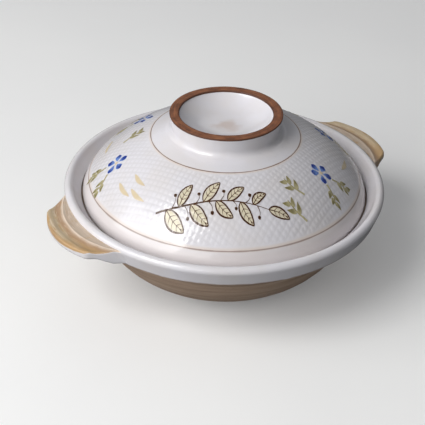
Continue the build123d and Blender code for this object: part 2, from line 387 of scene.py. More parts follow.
class Recipe:
    """A node material put together step by step."""

    def __init__(self, name):
        self.material = bpy.data.materials.new(name)
        self.material.use_nodes = True
        self.nodes = self.material.node_tree.nodes
        self.links = self.material.node_tree.links
        self.nodes.clear()
        self.output = self.nodes.new("ShaderNodeOutputMaterial")
        self.shader = self.nodes.new("ShaderNodeBsdfPrincipled")
        self.links.new(self.shader.outputs[0], self.output.inputs[0])
        self.place = self.nodes.new("ShaderNodeTexCoord").outputs["Object"]
        split = self.node("ShaderNodeSeparateXYZ", Vector=self.place)
        self.x, self.y, self.z = split.outputs
        self.flat = self.length(self.x, self.y)
        self.angle = self.math("ARCTAN2", self.y, self.x)

    def node(self, kind, settings=None, **sockets):
        """A new node with its settings and its named inputs set or linked."""
        made = self.nodes.new(kind)
        for key, value in (settings or {}).items():
            setattr(made, key, value)
        for key, value in sockets.items():
            self.feed(made.inputs[key.replace("_", " ")], value)
        return made

    def feed(self, socket, value):
        """Link an output into a socket, or set the socket's own value."""
        if isinstance(value, bpy.types.NodeSocket):
            self.links.new(value, socket)
        else:
            socket.default_value = value

    def math(self, operation, *values):
        """The result of one step of arithmetic."""
        made = self.nodes.new("ShaderNodeMath")
        made.operation = operation
        for socket, value in zip(made.inputs, values):
            self.feed(socket, value)
        return made.outputs[0]

    def plus(self, first, second):
        return self.math("ADD", first, second)

    def minus(self, first, second):
        return self.math("SUBTRACT", first, second)

    def times(self, first, second):
        return self.math("MULTIPLY", first, second)

    def length(self, x, y):
        """The length of a flat vector."""
        return self.math("SQRT", self.plus(self.times(x, x), self.times(y, y)))

    def off(self, value, middle):
        """How far a value is from the middle of a band, on either side."""
        return self.math("ABSOLUTE", self.minus(value, middle))

    def sway(self, noise, width):
        """A noise made into a shift to both sides, of a width in all."""
        return self.times(self.minus(noise, 0.5), width)

    def span(self, value, low, high, start=0.0, end=1.0):
        """A value mapped smoothly from one range to another, and held outside it."""
        ends = {"From_Min": low, "From_Max": high, "To_Min": start, "To_Max": end}
        made = self.node("ShaderNodeMapRange", {"interpolation_type": "SMOOTHSTEP"}, Value=value, **ends)
        return made.outputs[0]

    def noise(self, scale, detail=4.0, roughness=0.55, place=None, distortion=0.0):
        """Even noise at a scale per metre, at the piece's own places or at others."""
        grain = {"Scale": scale, "Detail": detail, "Roughness": roughness, "Distortion": distortion}
        return self.node("ShaderNodeTexNoise", Vector=place or self.place, **grain).outputs["Fac"]

    def vector(self, x, y, z):
        return self.node("ShaderNodeCombineXYZ", X=x, Y=y, Z=z).outputs[0]

    def stored(self, name):
        """A number that the piece's vertices carry."""
        return self.node("ShaderNodeAttribute", {"attribute_name": name}).outputs["Fac"]

    def ramp(self, value, *stops):
        """A colour ramp through (place, colour) stops."""
        made = self.nodes.new("ShaderNodeValToRGB")
        self.feed(made.inputs[0], value)
        while len(made.color_ramp.elements) < len(stops):
            made.color_ramp.elements.new(0.5)
        for element, (place, colour) in zip(made.color_ramp.elements, stops):
            element.position, element.color = place, (*colour, 1)
        return made.outputs[0]

    def mix(self, factor, first, second):
        """A colour between two others."""
        made = self.node("ShaderNodeMix", {"data_type": "RGBA"})
        for socket, value in ((made.inputs[0], factor), (made.inputs[6], first), (made.inputs[7], second)):
            if not isinstance(value, (bpy.types.NodeSocket, int, float)):
                value = (*value[:3], 1)
            self.feed(socket, value)
        return made.outputs[2]

    def bump(self, height, strength, distance, normal=None):
        """A relief from a height, on top of another relief where one is given."""
        made = self.node("ShaderNodeBump", Height=height, Strength=strength, Distance=distance)
        if normal:
            self.links.new(normal, made.inputs["Normal"])
        return made.outputs[0]

    def finish(self, colour, roughness, normal=None, **fixed):
        """Feed the shader and give back the material."""
        self.feed(self.shader.inputs["Base Color"], colour)
        self.feed(self.shader.inputs["Roughness"], roughness)
        if normal:
            self.links.new(normal, self.shader.inputs["Normal"])
        for key, value in fixed.items():
            self.shader.inputs[key.replace("_", " ")].default_value = value
        return self.material


def shade(red, green, blue):
    """A linear colour from the three numbers that a paint chart gives, 0 to 255."""
    values = [channel / 255 for channel in (red, green, blue)]
    return tuple(v / 12.92 if v <= 0.04045 else ((v + 0.055) / 1.055) ** 2.4 for v in values)


def glaze_ground(recipe, colours):
    """The white glaze's colour: cool milk white with soft warm clouds and a few iron specks."""
    clouds = recipe.span(recipe.noise(28.0, 3.0), 0.38, 0.68, 0.0, 0.45)
    colour = recipe.mix(clouds, colours.glaze, colours.glaze_warm)
    fine = recipe.noise(900.0, 2.0)
    return recipe.mix(recipe.span(fine, 0.70, 0.78, 0.0, 0.25), colour, colours.speck)


def glazed(recipe, colour):
    """The material of a thick, slightly uneven glaze of a colour."""
    rough = recipe.span(recipe.noise(60.0, 3.0), 0.3, 0.7, 0.13, 0.24)
    soft = recipe.bump(recipe.noise(45.0, 2.0), 0.35, 0.0012)
    normal = recipe.bump(recipe.noise(420.0, 2.0), 0.06, 0.0003, soft)
    return recipe.finish(colour, rough, normal, Coat_Weight=0.15, Coat_Roughness=0.08)


def drawn_line(recipe, radius, half_width):
    """Mask of a thin ring line painted on the turning lid, a little uneven."""
    place = recipe.plus(recipe.flat, recipe.sway(recipe.noise(22.0, 2.0), 0.25 * MM))
    wide = recipe.span(recipe.noise(60.0, 2.0), 0.3, 0.7, half_width * 0.75 * MM, half_width * 1.2 * MM)
    ratio = recipe.math("DIVIDE", recipe.off(place, radius * MM), wide)
    return recipe.span(ratio, 0.35, 1.0, 1.0, 0.0)


def lid_material(settings, colours):
    """White glaze of the lid with its two ring lines, a rosier edge and painted shade in the grooves of its
    cloth print.
    """
    recipe = Recipe("lid_glaze_white")
    colour = glaze_ground(recipe, colours)
    # Painted shade: the glaze is greyed in the grooves of the cloth print, where the glaze also pools
    weave_groove_shade = recipe.span(recipe.stored("weave"), -1.0, 0.2, 0.28, 0.0)
    colour = recipe.mix(weave_groove_shade, colour, colours.weave)
    outer = recipe.span(recipe.flat, (DOME_EDGE - 1) * MM, (DOME_EDGE + 2.5) * MM)
    colour = recipe.mix(recipe.times(outer, 0.75), colour, colours.glaze_rose)
    half_width = settings.line_width / MM / 2
    for radius, side, strength in ((COLLAR, 1, 0.85), (DOME_EDGE, -1, 0.6)):
        halo = recipe.span(recipe.off(recipe.flat, (radius + side * 0.5) * MM), 0.0, 1.9 * MM, 0.55, 0.0)
        colour = recipe.mix(halo, colour, colours.line_halo)
        mask = drawn_line(recipe, radius, half_width)
        colour = recipe.mix(recipe.times(mask, strength), colour, colours.line)
    return glazed(recipe, colour)


def white_material(name, colours, thin_at=None):
    """Plain white glaze, with the clay showing through where it ran thin at an edge's height."""
    recipe = Recipe(name)
    colour = glaze_ground(recipe, colours)
    if thin_at:
        thin = recipe.span(recipe.off(recipe.z, thin_at * MM), 0.2 * MM, 1.3 * MM, 0.8, 0.0)
        thin = recipe.times(thin, recipe.span(recipe.noise(70.0, 4.0), 0.35, 0.6))
        colour = recipe.mix(thin, colour, colours.glaze_break)
    return glazed(recipe, colour)


def bare_clay(name, colours):
    """Unglazed clay with rings from the wheel, grain and small pits."""
    recipe = Recipe(name)
    across = recipe.times(recipe.math("COSINE", recipe.angle), 0.008)
    along = recipe.times(recipe.math("SINE", recipe.angle), 0.008)
    around = recipe.vector(across, along, recipe.plus(recipe.z, recipe.flat))
    rings = recipe.noise(150.0, 5.0, 0.6, around, 0.3)
    grains = recipe.noise(1400.0, 3.0, 0.7)
    mixed = recipe.plus(recipe.times(rings, 0.75), recipe.times(grains, 0.25))
    dark, mid, light = colours.belly_dark, colours.belly, colours.belly_light
    colour = recipe.ramp(mixed, (0.30, dark), (0.5, mid), (0.70, light))
    pits = recipe.span(recipe.noise(520.0, 1.0), 0.70, 0.76, 0.0, 0.6)
    colour = recipe.mix(pits, colour, dark)
    rough = recipe.span(grains, 0.3, 0.7, 0.62, 0.85)
    normal = recipe.bump(rings, 0.5, 0.0006)
    normal = recipe.bump(grains, 0.35, 0.0002, normal)
    return recipe.finish(colour, rough, normal)


def knob_material(colours):
    """Brown clay of the knob's ring, turned fine, darker at both of its edges."""
    recipe = Recipe("knob_clay")
    around = recipe.vector(recipe.times(recipe.angle, 0.0035), recipe.flat, recipe.z)
    rings = recipe.noise(900.0, 4.0, 0.65, around, 0.4)
    clouds = recipe.noise(110.0, 3.0)
    mixed = recipe.plus(recipe.times(rings, 0.6), recipe.times(clouds, 0.4))
    colour = recipe.ramp(mixed, (0.36, colours.knob_dark), (0.5, colours.knob), (0.64, colours.knob_light))
    # Darker towards both edges of the ring
    off = recipe.off(recipe.flat, (KNOB + CUP) / 2 * MM)
    off = recipe.plus(off, recipe.sway(clouds, 1.5 * MM))
    colour = recipe.mix(recipe.span(off, 2.9 * MM, 4.0 * MM, 0.0, 0.85), colour, colours.knob_dark)
    pits = recipe.span(recipe.noise(1100.0, 1.0), 0.68, 0.74, 0.0, 0.7)
    colour = recipe.mix(pits, colour, colours.knob_dark)
    rough = recipe.span(rings, 0.3, 0.7, 0.5, 0.75)
    normal = recipe.bump(rings, 0.6, 0.0005)
    normal = recipe.bump(recipe.noise(1500.0, 2.0), 0.4, 0.0002, normal)
    return recipe.finish(colour, rough, normal)


def cup_material(colours):
    """White glaze of the cup, thin and warm where it ran off the middle."""
    recipe = Recipe("knob_cup_white")
    colour = glaze_ground(recipe, colours)
    ragged_radius = recipe.plus(recipe.flat, recipe.times(recipe.noise(60.0, 4.0), 26 * MM))
    thin = recipe.span(ragged_radius, 15 * MM, 27 * MM, 0.55, 0.0)
    return glazed(recipe, recipe.mix(thin, colour, colours.glaze_thin))


def handle_clay(colours, side):
    """Tan handle, wiped with a comb along the curve of its ridge, with ochre slip left in the strokes, a
    painted highlight along the ridge and painted shadow in the hollow outside it.
    """
    recipe = Recipe("handle_clay_right" if side > 0 else "handle_clay_left")
    along = recipe.minus(recipe.times(recipe.x, side), RIDGE_CENTRE * MM)
    out = recipe.length(along, recipe.y)
    swing = recipe.math("ARCTAN2", recipe.y, along)
    strokes = recipe.vector(out, recipe.times(swing, 0.006), recipe.times(recipe.z, 0.3))
    broad = recipe.noise(260.0, 3.0, 0.5, strokes, 0.5)
    hair = recipe.noise(1100.0, 3.0, 0.6, strokes, 0.3)
    clouds = recipe.noise(75.0, 3.0)
    clouded = recipe.plus(out, recipe.sway(clouds, 9 * MM))
    place = recipe.math("DIVIDE", recipe.minus(clouded, 60 * MM), 27 * MM)
    colour = recipe.ramp(
        place,
        (0.0, colours.handle_pale),
        (0.2, colours.handle),
        (0.46, colours.handle),
        (0.6, colours.handle_dark),
        (0.72, colours.handle_olive),
        (0.86, colours.handle_olive),
        (0.95, colours.handle_ochre),
    )
    mottled = recipe.times(recipe.span(clouds, 0.5, 0.62), recipe.span(broad, 0.42, 0.6))
    colour = recipe.mix(recipe.times(mottled, 0.75), colour, colours.handle_ochre)
    colour = recipe.mix(recipe.span(hair, 0.52, 0.72, 0.0, 0.7), colour, colours.handle_pale)
    colour = recipe.mix(recipe.span(broad, 0.48, 0.32, 0.0, 0.5), colour, colours.handle_dark)
    near = recipe.span(recipe.y, -30 * MM, 2 * MM, 0.9, 0.0)
    outside = recipe.span(out, (RIDGE_ROUND + 1.5) * MM, (RIDGE_ROUND + 5) * MM)
    cloudy = recipe.times(outside, recipe.span(clouds, 0.3, 0.55, 0.4, 1.0))
    colour = recipe.mix(recipe.times(near, cloudy), colour, colours.handle_ochre)
    # Painted highlight: a pale line along the ridge's crest, streaked like the dry strokes
    ridge = recipe.off(out, (RIDGE_ROUND - 0.5) * MM)
    dry = recipe.span(hair, 0.35, 0.55, 0.5, 0.95)
    pale = recipe.times(recipe.span(ridge, 0.1 * MM, 0.9 * MM, 1.0, 0.0), dry)
    colour = recipe.mix(pale, colour, colours.handle_pale)
    # Painted shadow in the hollow just outside the ridge
    shadow = recipe.off(out, (RIDGE_ROUND + 1.9) * MM)
    colour = recipe.mix(recipe.span(shadow, 0.3 * MM, 1.6 * MM, 0.6, 0.0), colour, colours.handle_dark)
    rough = recipe.span(hair, 0.3, 0.7, 0.38, 0.6)
    normal = recipe.bump(hair, 0.35, 0.0003)
    normal = recipe.bump(recipe.noise(900.0, 2.0), 0.15, 0.0002, normal)
    return recipe.finish(colour, rough, normal)


def brushed(name, ends, body, edge):
    """Underglaze brush stroke: thin at its edges, strong where the brush was set down and lifted."""
    recipe = Recipe(name)
    grain = recipe.times(recipe.noise(160.0, 3.0), 0.7)
    load = recipe.plus(grain, recipe.times(recipe.stored("along"), 0.5))
    colour = recipe.mix(recipe.span(load, 0.35, 0.75), body, ends)
    thin = recipe.plus(recipe.stored("across"), recipe.times(recipe.noise(240.0, 2.0), 0.25))
    colour = recipe.mix(recipe.span(thin, 0.75, 1.12), colour, edge)
    rough = recipe.span(recipe.noise(60.0, 3.0), 0.3, 0.7, 0.16, 0.26)
    return recipe.finish(colour, rough, recipe.bump(recipe.noise(300.0, 2.0), 0.05, 0.0002))


# What a user of the add-on can set


def length_property(name, description, metres):
    """A length a user can set."""
    return bpy.props.FloatProperty(name=name, description=description, default=metres, unit="LENGTH")


def colour_property(name, description, red, green, blue):
    """A colour a user can pick, given by its paint chart numbers."""
    return bpy.props.FloatVectorProperty(
        name=name, description=description, default=shade(red, green, blue), subtype="COLOR", min=0, max=1
    )


class DonabeSettings(bpy.types.PropertyGroup):
    """Sizes of the pot's prints, rings and lines"""

    cloth_pitch: length_property("Cloth pitch", "Distance between threads of the cloth print", 0.0042)
    cloth_depth: length_property("Cloth depth", "Depth of the cloth print in the dome", 0.0002)
    throwing_depth: length_property("Throwing rings", "Height of the finger rings on the belly", 0.00022)
    line_width: length_property("Line width", "Width of the two painted ring lines", 0.0011)
    turns: bpy.props.IntProperty(name="Turns", description="Faces once round", default=256, min=48)


class DonabeColours(bpy.types.PropertyGroup):
    """Colours of the glazes, clays and paints"""

    glaze: colour_property("Glaze", "Milk white glaze", 216, 214, 219)
    glaze_warm: colour_property("Glaze clouds", "Warmer clouds in the glaze", 211, 205, 202)
    glaze_rose: colour_property("Glaze edge", "Rosier glaze round the lid's edge", 212, 204, 202)
    # The weave colour is painted shade in the grooves of the cloth print, where the glaze also pools
    weave: colour_property("Weave", "Glaze pooled in the print of the cloth", 176, 172, 172)
    glaze_thin: colour_property("Thin glaze", "Clay seen through the cup's thin glaze", 186, 162, 148)
    glaze_break: colour_property("Glaze break", "Where the glaze runs thin over an edge", 150, 128, 116)
    speck: colour_property("Specks", "Iron specks in the glaze", 168, 150, 138)
    line: colour_property("Ring line", "Iron brown ring lines", 104, 74, 60)
    line_halo: colour_property("Line halo", "Rust bled out of the ring lines", 214, 196, 180)
    knob: colour_property("Knob clay", "Bare brown clay of the knob", 128, 78, 50)
    # knob_dark is the colour the ring takes towards both of its edges
    knob_dark: colour_property("Knob dark", "Burnt edges of the knob", 70, 40, 26)
    knob_light: colour_property("Knob light", "Lighter grain of the knob", 156, 104, 70)
    belly: colour_property("Belly clay", "Bare clay of the belly", 170, 146, 126)
    belly_dark: colour_property("Belly dark", "Darker rings of the belly", 136, 114, 98)
    belly_light: colour_property("Belly light", "Lighter rings of the belly", 190, 168, 148)
    handle: colour_property("Handle", "Grey tan of the handles", 190, 172, 154)
    # handle_dark also paints the shadow in the hollow outside the ridge
    handle_dark: colour_property("Handle strokes", "Brown strokes outside the ridge", 164, 132, 102)
    # handle_pale also paints the highlight along the ridge's crest
    handle_pale: colour_property("Handle ridge", "Pale ridge and dry strokes", 224, 206, 188)
    handle_olive: colour_property("Handle olive", "Olive slip towards the tip", 194, 176, 146)
    handle_ochre: colour_property("Handle ochre", "Ochre slip along the edge", 182, 148, 104)
    ink: colour_property("Ink", "Iron brown ink of the drawing", 62, 38, 24)
    ink_thin: colour_property("Thin ink", "Iron ink where the brush ran dry", 138, 104, 78)
    cream: colour_property("Cream wash", "Wash inside the drawn leaves", 210, 201, 176)
    olive: colour_property("Olive", "Olive of the twigs", 124, 116, 78)
    olive_thin: colour_property("Thin olive", "Olive where it is washed out", 176, 168, 132)
    ochre: colour_property("Ochre", "Pale ochre dabs", 206, 190, 160)
    blue: colour_property("Blue", "Cobalt of the petals", 34, 52, 132)
    blue_thin: colour_property("Thin blue", "Cobalt where it is washed out", 110, 142, 204)


# Outlines of the turned pieces


def belly_outline():
    """Outside of the pot from under the foot ring up to the band's lower edge."""
    foot = run((FOOT, 0), (FOOT, FOOT_HEIGHT), 3)
    belly = bow((FOOT, FOOT_HEIGHT), BELLY_END, -BELLY_BULGE, 56)
    flange = np.subtract(BAND_EDGE, BELLY_END)
    after = tuple(np.add(BELLY_END, flange / np.linalg.norm(flange) * FLANGE_TURN))
    start, corner, end = np.array(belly[-5]), np.array(BELLY_END), np.array(after)
    turn_out = [(1 - t) ** 2 * start + 2 * t * (1 - t) * corner + t * t * end for t in np.linspace(0, 1, 8)]
    return joined(foot, belly[:-5], turn_out, run(after, BAND_EDGE, 12))


def rim_outline():
    """The white rim from the band's lower edge in to the gallery."""
    return joined(
        run(BAND_EDGE, RIM_EDGE, 8),
        through(RIM_EDGE, RIM_CREST, LIP_EDGE, 14),
        bow(LIP_EDGE, GALLERY, 0.6, 8),
        run(GALLERY, (GALLERY[0], LEDGE), 2),
    )


def basin_outline():
    """The inside of the pot from the ledge down to the middle of the floor."""
    top = (BELLY_END[0] - WALL, BELLY_END[1])
    return joined(
        run((LEDGE_INNER, LEDGE), top, 5),
        leaving(FLOOR, (1, 0), top, 30)[::-1],
        run(FLOOR, (0, FLOOR[1]), 6),
    )


def dome_run(inner, edge, skirt, depth, steps, skirt_steps):
    """The dome's face at a depth between two radii, its turn down to the skirt and the skirt itself."""
    first, middle, last = ((r, dome_height(r, depth)) for r in (inner, (inner + edge) / 2, edge))
    down = (dome_height(DOME_EDGE) - DOME_ARC_UP, DOME_ARC_OUT - DOME_EDGE)
    return joined(
        through(first, middle, last, steps),
        leaving(last, down, (skirt, SKIRT), skirt_steps),
        run((skirt, SKIRT), (skirt, LEDGE + BARE_FOOT), 2),
    )


def lid_outline():
    """The lid's outside from the top of the knob's glaze down to the end of the lid's."""
    flare = KNOB_FOOT + FLARE_WIDTH
    taper = (KNOB - KNOB_FOOT) / (KNOB_TOP - FLARE_HEIGHT)
    way = (KNOB_FOOT - KNOB, FLARE_HEIGHT - KNOB_TOP)
    return joined(
        run((KNOB - BARE_EDGE * taper, KNOB_TOP - BARE_EDGE), (KNOB_FOOT, FLARE_HEIGHT), 6),
        leaving((KNOB_FOOT, FLARE_HEIGHT), way, (flare, dome_height(flare)), 8),
        dome_run(flare, DOME_EDGE, LID_EDGE, 0.0, 88, 8),
    )


def lid_hollow_outline():
    """The lid's inside from the middle out to the end of its glaze."""
    edge = DOME_ARC_OUT + (DOME_EDGE - DOME_ARC_OUT) * (1 - LID_WALL / DOME_ARC)
    land = dome_height(LAND[0], LID_WALL)
    flat = run((0, land), (LAND[0], land), 8)
    return joined(flat, dome_run(LAND[0], edge, SEAT_INNER, LID_WALL, 40, 6))


def cup_outline():
    """The knob's cup from the middle out to the end of its glaze."""
    return joined(
        run((0, CUP_FLOOR[1]), CUP_FLOOR, 5),
        leaving(CUP_FLOOR, (1, 0), CUP_EDGE, 22),
        [(CUP_EDGE[0] + 0.06, KNOB_TOP - BARE_EDGE)],
    )


def settings_of(context):
    """The add-on's sizes and colours."""
    return context.scene.donabe, context.scene.donabe_colours


class DONABE_OT_pot(bpy.types.Operator):
    """Throws the bare clay pot and glazes its basin"""

    bl_idname = "donabe.pot"
    bl_label = "Pot"

    def execute(self, context):
        settings, colours = settings_of(context)
        clay = bare_clay("belly_clay", colours)
        outside, rim, basin = belly_outline(), sunk(rim_outline(), COAT), sunk(basin_outline(), COAT)
        under = [(0, FOOT_HOLLOW), (FOOT - FOOT_WIDTH, FOOT_HOLLOW), (FOOT - FOOT_WIDTH, 0)]
        seat = [(GALLERY[0] + COAT, LEDGE), (LEDGE_INNER - COAT, LEDGE)]
        outline = joined(under, outside, rim[1:], seat, basin[1:])
        outline = softened(outline)
        relief = throwing_relief(settings.throwing_depth / MM, FOOT_HEIGHT + 2, BELLY_END[1] + 10)
        body = turned(outline, settings.turns, relief)
        new_piece("pot_body", *body, clay, "pot", "belly_clay", "pot_bowl")
        white = white_material("basin_glaze_white", colours)
        coat = joined(basin_outline(), basin[::-1])
        new_piece("basin_coat", *turned(coat, settings.turns), white, "pot", "white_glaze", "basin_glaze")
        return {"FINISHED"}


class DONABE_OT_rim(bpy.types.Operator):
    """Lays the white glaze over the rim"""

    bl_idname = "donabe.rim"
    bl_label = "Rim glaze"

    def execute(self, context):
        settings, colours = settings_of(context)
        outer = rim_outline()
        outline = joined(outer, sunk(outer, COAT)[::-1])
        white = white_material("rim_glaze_white", colours, BAND_EDGE[1])
        coat = turned(outline, settings.turns * 3 // 2)
        new_piece("rim_coat", *coat, white, "pot", "white_glaze", "rim_glaze")
        return {"FINISHED"}


def band_radius(height):
    """Radius of the band's slanting face at a height."""
    lean = (RIM_EDGE[0] - BAND_EDGE[0]) / (RIM_EDGE[1] - BAND_EDGE[1])
    return BAND_EDGE[0] + lean * (min(height, RIM_EDGE[1]) - BAND_EDGE[1])


def far_along(place, way, reach):
    """How far along a way from a place the first point lies that is at a reach from the centre."""
    return -place @ way - sqrt((place @ way) ** 2 - place @ place + reach**2)


def arc_round(centre, radius, first, last, count):
    """Points on a circular arc about a centre between two angles, both ends kept."""
    return [centre + radius * np.array([cos(a), sin(a)]) for a in np.linspace(first, last, count)]


def handle_edge(height, inset):
    """Points of the handle's edge at a height, inset, from one root round the tip to the other."""
    corner, root = np.array(TIP_CORNER), np.array(ROOT_CORNER)
    way = (root - corner) / np.linalg.norm(root - corner)
    out = np.array([way[1], -way[0]])
    bow_out = TIP - corner[0]
    tip_round = (corner[1] ** 2 + bow_out**2) / (2 * bow_out)
    tip_centre = np.array([TIP - tip_round, 0.0])
    base = corner - out * CORNER_ROUND
    round_centre = base + way * far_along(base - tip_centre, way, tip_round - CORNER_ROUND)
    base = corner + out * FLARE_ROUND
    flare_centre = base + way * far_along(base, way, band_radius(height) + FLARE_ROUND)
    turn = np.arctan2(*(round_centre - tip_centre)[::-1])
    side = atan2(out[1], out[0])
    tip = arc_round(tip_centre, tip_round - inset, 0, turn, 15)
    corner_arc = arc_round(round_centre, CORNER_ROUND - inset, turn, side, 9)
    start, end = corner_arc[-1], flare_centre - out * (FLARE_ROUND + inset)
    line = [start + (end - start) * t for t in np.linspace(0, 1, 13)]
    to_rim = -flare_centre / np.linalg.norm(flare_centre)
    first, last = side + pi, atan2(to_rim[1], to_rim[0])
    last += 2 * pi * round((first - last) / (2 * pi))
    flare = arc_round(flare_centre, FLARE_ROUND + inset, first, last, 13)
    half = np.array(tip + corner_arc[1:] + line[1:] + flare[1:])
    return np.concatenate([half[:0:-1] * (1, -1), half])


def handle_relief(x, y):
    """Height of the pressed ridge, the hollow outside it and the comb's strokes."""
    out = np.hypot(x - RIDGE_CENTRE, y)
    half = GROOVE_WIDTH / 2
    across = np.clip(np.abs(out - RIDGE_ROUND - half) / half, 0, 1)
    hollow = -GROOVE_DEPTH * (1 - across**2)
    ridge = RIDGE_HEIGHT * np.exp(-(((out - RIDGE_ROUND + RIDGE_INSET) / RIDGE_WIDTH) ** 2))
    comb = COMB_DEPTH * np.sin(2 * pi * out / COMB_PITCH + 0.4 * np.sin(y / 9))
    return hollow + ridge + comb


def handle_top(points):
    """Heights of the handle's top face under points seen from above."""
    x, y = points[:, 0], points[:, 1]
    return HANDLE_TOP - HANDLE_FALL * (x - BAND_EDGE[0]) + handle_relief(x, y)


def handle_under(points):
    """Heights of the handle's underside."""
    slope = (HANDLE_UNDER - BAND_EDGE[1]) / (UNDER_REACH - BAND_EDGE[0])
    return np.clip(BAND_EDGE[1] + slope * (points[:, 0] - BAND_EDGE[0]), BAND_EDGE[1], HANDLE_UNDER)


def handle_mesh(inner, seed):
    """The clay of a handle, or with inner off the coat on its sides, as loops round its section."""
    station = np.linspace(-1, 1, len(handle_edge(HANDLE_TOP, 0)))
    waver = wander(station * pi, seed, (3, 7, 13, 19))
    # The coat starts part of the way down the top edge's rounding, and lower where it was wiped thin
    start = np.clip(0.62 + 0.5 * waver, 0.3, 0.95)[:, None]
    wiped = np.clip((0.42 - station) / 0.35, 0, 1) * np.clip((station + 1) / 0.12, 0, 1)
    start = start + (0.97 - start) * wiped[:, None]
    kept = 1 - np.clip(0.72 + 0.25 * waver, 0.4, 0.9) * wiped
    side = CLAY_INSET if inner else 0.0
    tight, loose = handle_edge(HANDLE_TOP, side), handle_edge(HANDLE_TOP, side + TOP_ROUND)
    low_edge, low_inner = (handle_edge(BAND_EDGE[1], side + inset) for inset in (0, UNDER_ROUND))
    angle = np.arctan2(loose[:, 1], loose[:, 0])
    outward = np.column_stack([np.cos(angle), np.sin(angle)])
    base = handle_under(low_edge) + UNDER_ROUND
    wall = (handle_top(loose) - TOP_ROUND - base) * (1 if inner else kept)
    rows = []

    def lay(points, heights):
        """Adds a row from points seen from above and their heights."""
        rows.append(np.column_stack([points, heights]))

    def lay_side(share, inset):
        """A row on the side, a share of the way up from the underside's rounding."""
        low, high = handle_edge(BAND_EDGE[1], inset), handle_edge(HANDLE_TOP, inset)
        lay(low + (high - low) * share, base + wall * share)

    def lay_rounding(turn, depth):
        """A row on the top edge's rounding, a share of its turn down, at a depth under its face."""
        points = tight + (loose - tight) * (1 - (1 - depth / TOP_ROUND) * np.sin(turn * pi / 2))
        lay(points, base + wall + (TOP_ROUND - depth) * np.cos(turn[:, 0] * pi / 2))

    if inner:
        for share in np.linspace(0, 1, 30)[:-1]:
            points = TOP_ROOT * outward + (loose - TOP_ROOT * outward) * share
            lay(points, handle_top(points))
    for share in np.linspace(0, 1, 8):
        turn = np.full_like(start, share) if inner else start + (1 - start) * share
        lay_rounding(turn, 0.0 if inner or share else CLAY_INSET * 1.4)
    for share in (0.75, 0.5, 0.25):
        lay_side(share, side)
    for a in np.linspace(0, pi / 2, 8):
        points = handle_edge(BAND_EDGE[1], side + UNDER_ROUND * (1 - cos(a)))
        lay(points, base - UNDER_ROUND * sin(a))
    if inner:
        for share in np.linspace(0, 1, 8)[1:]:
            points = low_inner + (UNDER_ROOT * outward - low_inner) * share
            lay(points, handle_under(points))
    else:
        lay(handle_edge(BAND_EDGE[1], COAT + UNDER_ROUND), base - UNDER_ROUND + 0.05)
        for share in (0.15, 0.5, 0.85):
            lay_side(share, COAT)
        lay_rounding(np.clip(start + 0.1, 0, 1), COAT)
    return [np.array(loop) for loop in np.array(rows).transpose(1, 0, 2)]


class DONABE_OT_handles(bpy.types.Operator):
    """Lutes the two handles to the rim and glazes their sides"""

    bl_idname = "donabe.handles"
    bl_label = "Handles"

    def execute(self, context):
        _, colours = settings_of(context)
        for side, name in ((1, "right"), (-1, "left")):
            clay = handle_clay(colours, side)
            white = white_material(f"handle_{name}_white", colours)
            for inner, piece, node, material, slot in (
                (True, f"handle_{name}_clay", f"handle_{name}", clay, "handle_clay"),
                (False, f"handle_{name}_coat", f"handle_glaze_{name}", white, "white_glaze"),
            ):
                vertices, faces = looped(handle_mesh(inner, 11 + side))
                new_piece(piece, vertices * (side, side, 1.0), faces, material, "pot", slot, node)
        return {"FINISHED"}


class DONABE_OT_lid(bpy.types.Operator):
    """Throws the lid, prints the cloth into its dome and glazes it"""

    bl_idname = "donabe.lid"
    bl_label = "Lid"

    def execute(self, context):
        settings, colours = settings_of(context)
        outer, hollow = lid_outline(), lid_hollow_outline()
        clay = bare_clay("lid_clay", colours)
        inside, under = sunk(hollow, COAT), sunk(outer, -COAT)
        edge, seat, glazed_to = LID_EDGE - FOOT_INSET, SEAT_INNER + FOOT_INSET, LEDGE + BARE_FOOT
        outline = joined(
            [(0, LAND[1]), LAND],
            under[past(outer, KNOB_FOOT + FLARE_WIDTH - SLACK):],
            [(edge, glazed_to), (edge, LEDGE), (seat, LEDGE), (seat, glazed_to)],
            inside[::-1],
        )
        pierced(new_piece("lid_body", *turned(outline, settings.turns), clay, "lid", "lid_clay", "lid"))
        under = under[::-1]
        coat = joined(outer, under[:1], under[4:-4:4], under[-1:])
        white = lid_material(settings, colours)
        print_of_cloth = cloth_relief(settings)
        vertices, faces = turned(coat, settings.turns * 5 // 2, print_of_cloth)
        vertices = ragged(vertices, KNOB_TOP - BARE_EDGE, 0.4, 5)
        piece = new_piece("lid_coat", vertices, faces, white, "lid", "white_glaze", "lid_glaze")
        x, y, z = np.asarray(vertices).T
        depths = print_of_cloth(np.hypot(x, y), z, 0.0, 1.0, np.arctan2(y, x))
        mark(piece, "weave", depths / (settings.cloth_depth / MM))
        pierced(piece)
        lining = joined(hollow, inside[::-1])
        white = white_material("lid_lining_white", colours)
        lining = turned(lining, settings.turns)
        pierced(new_piece("lid_lining_coat", *lining, white, "lid", "white_glaze", "lid_lining_glaze"))
        return {"FINISHED"}


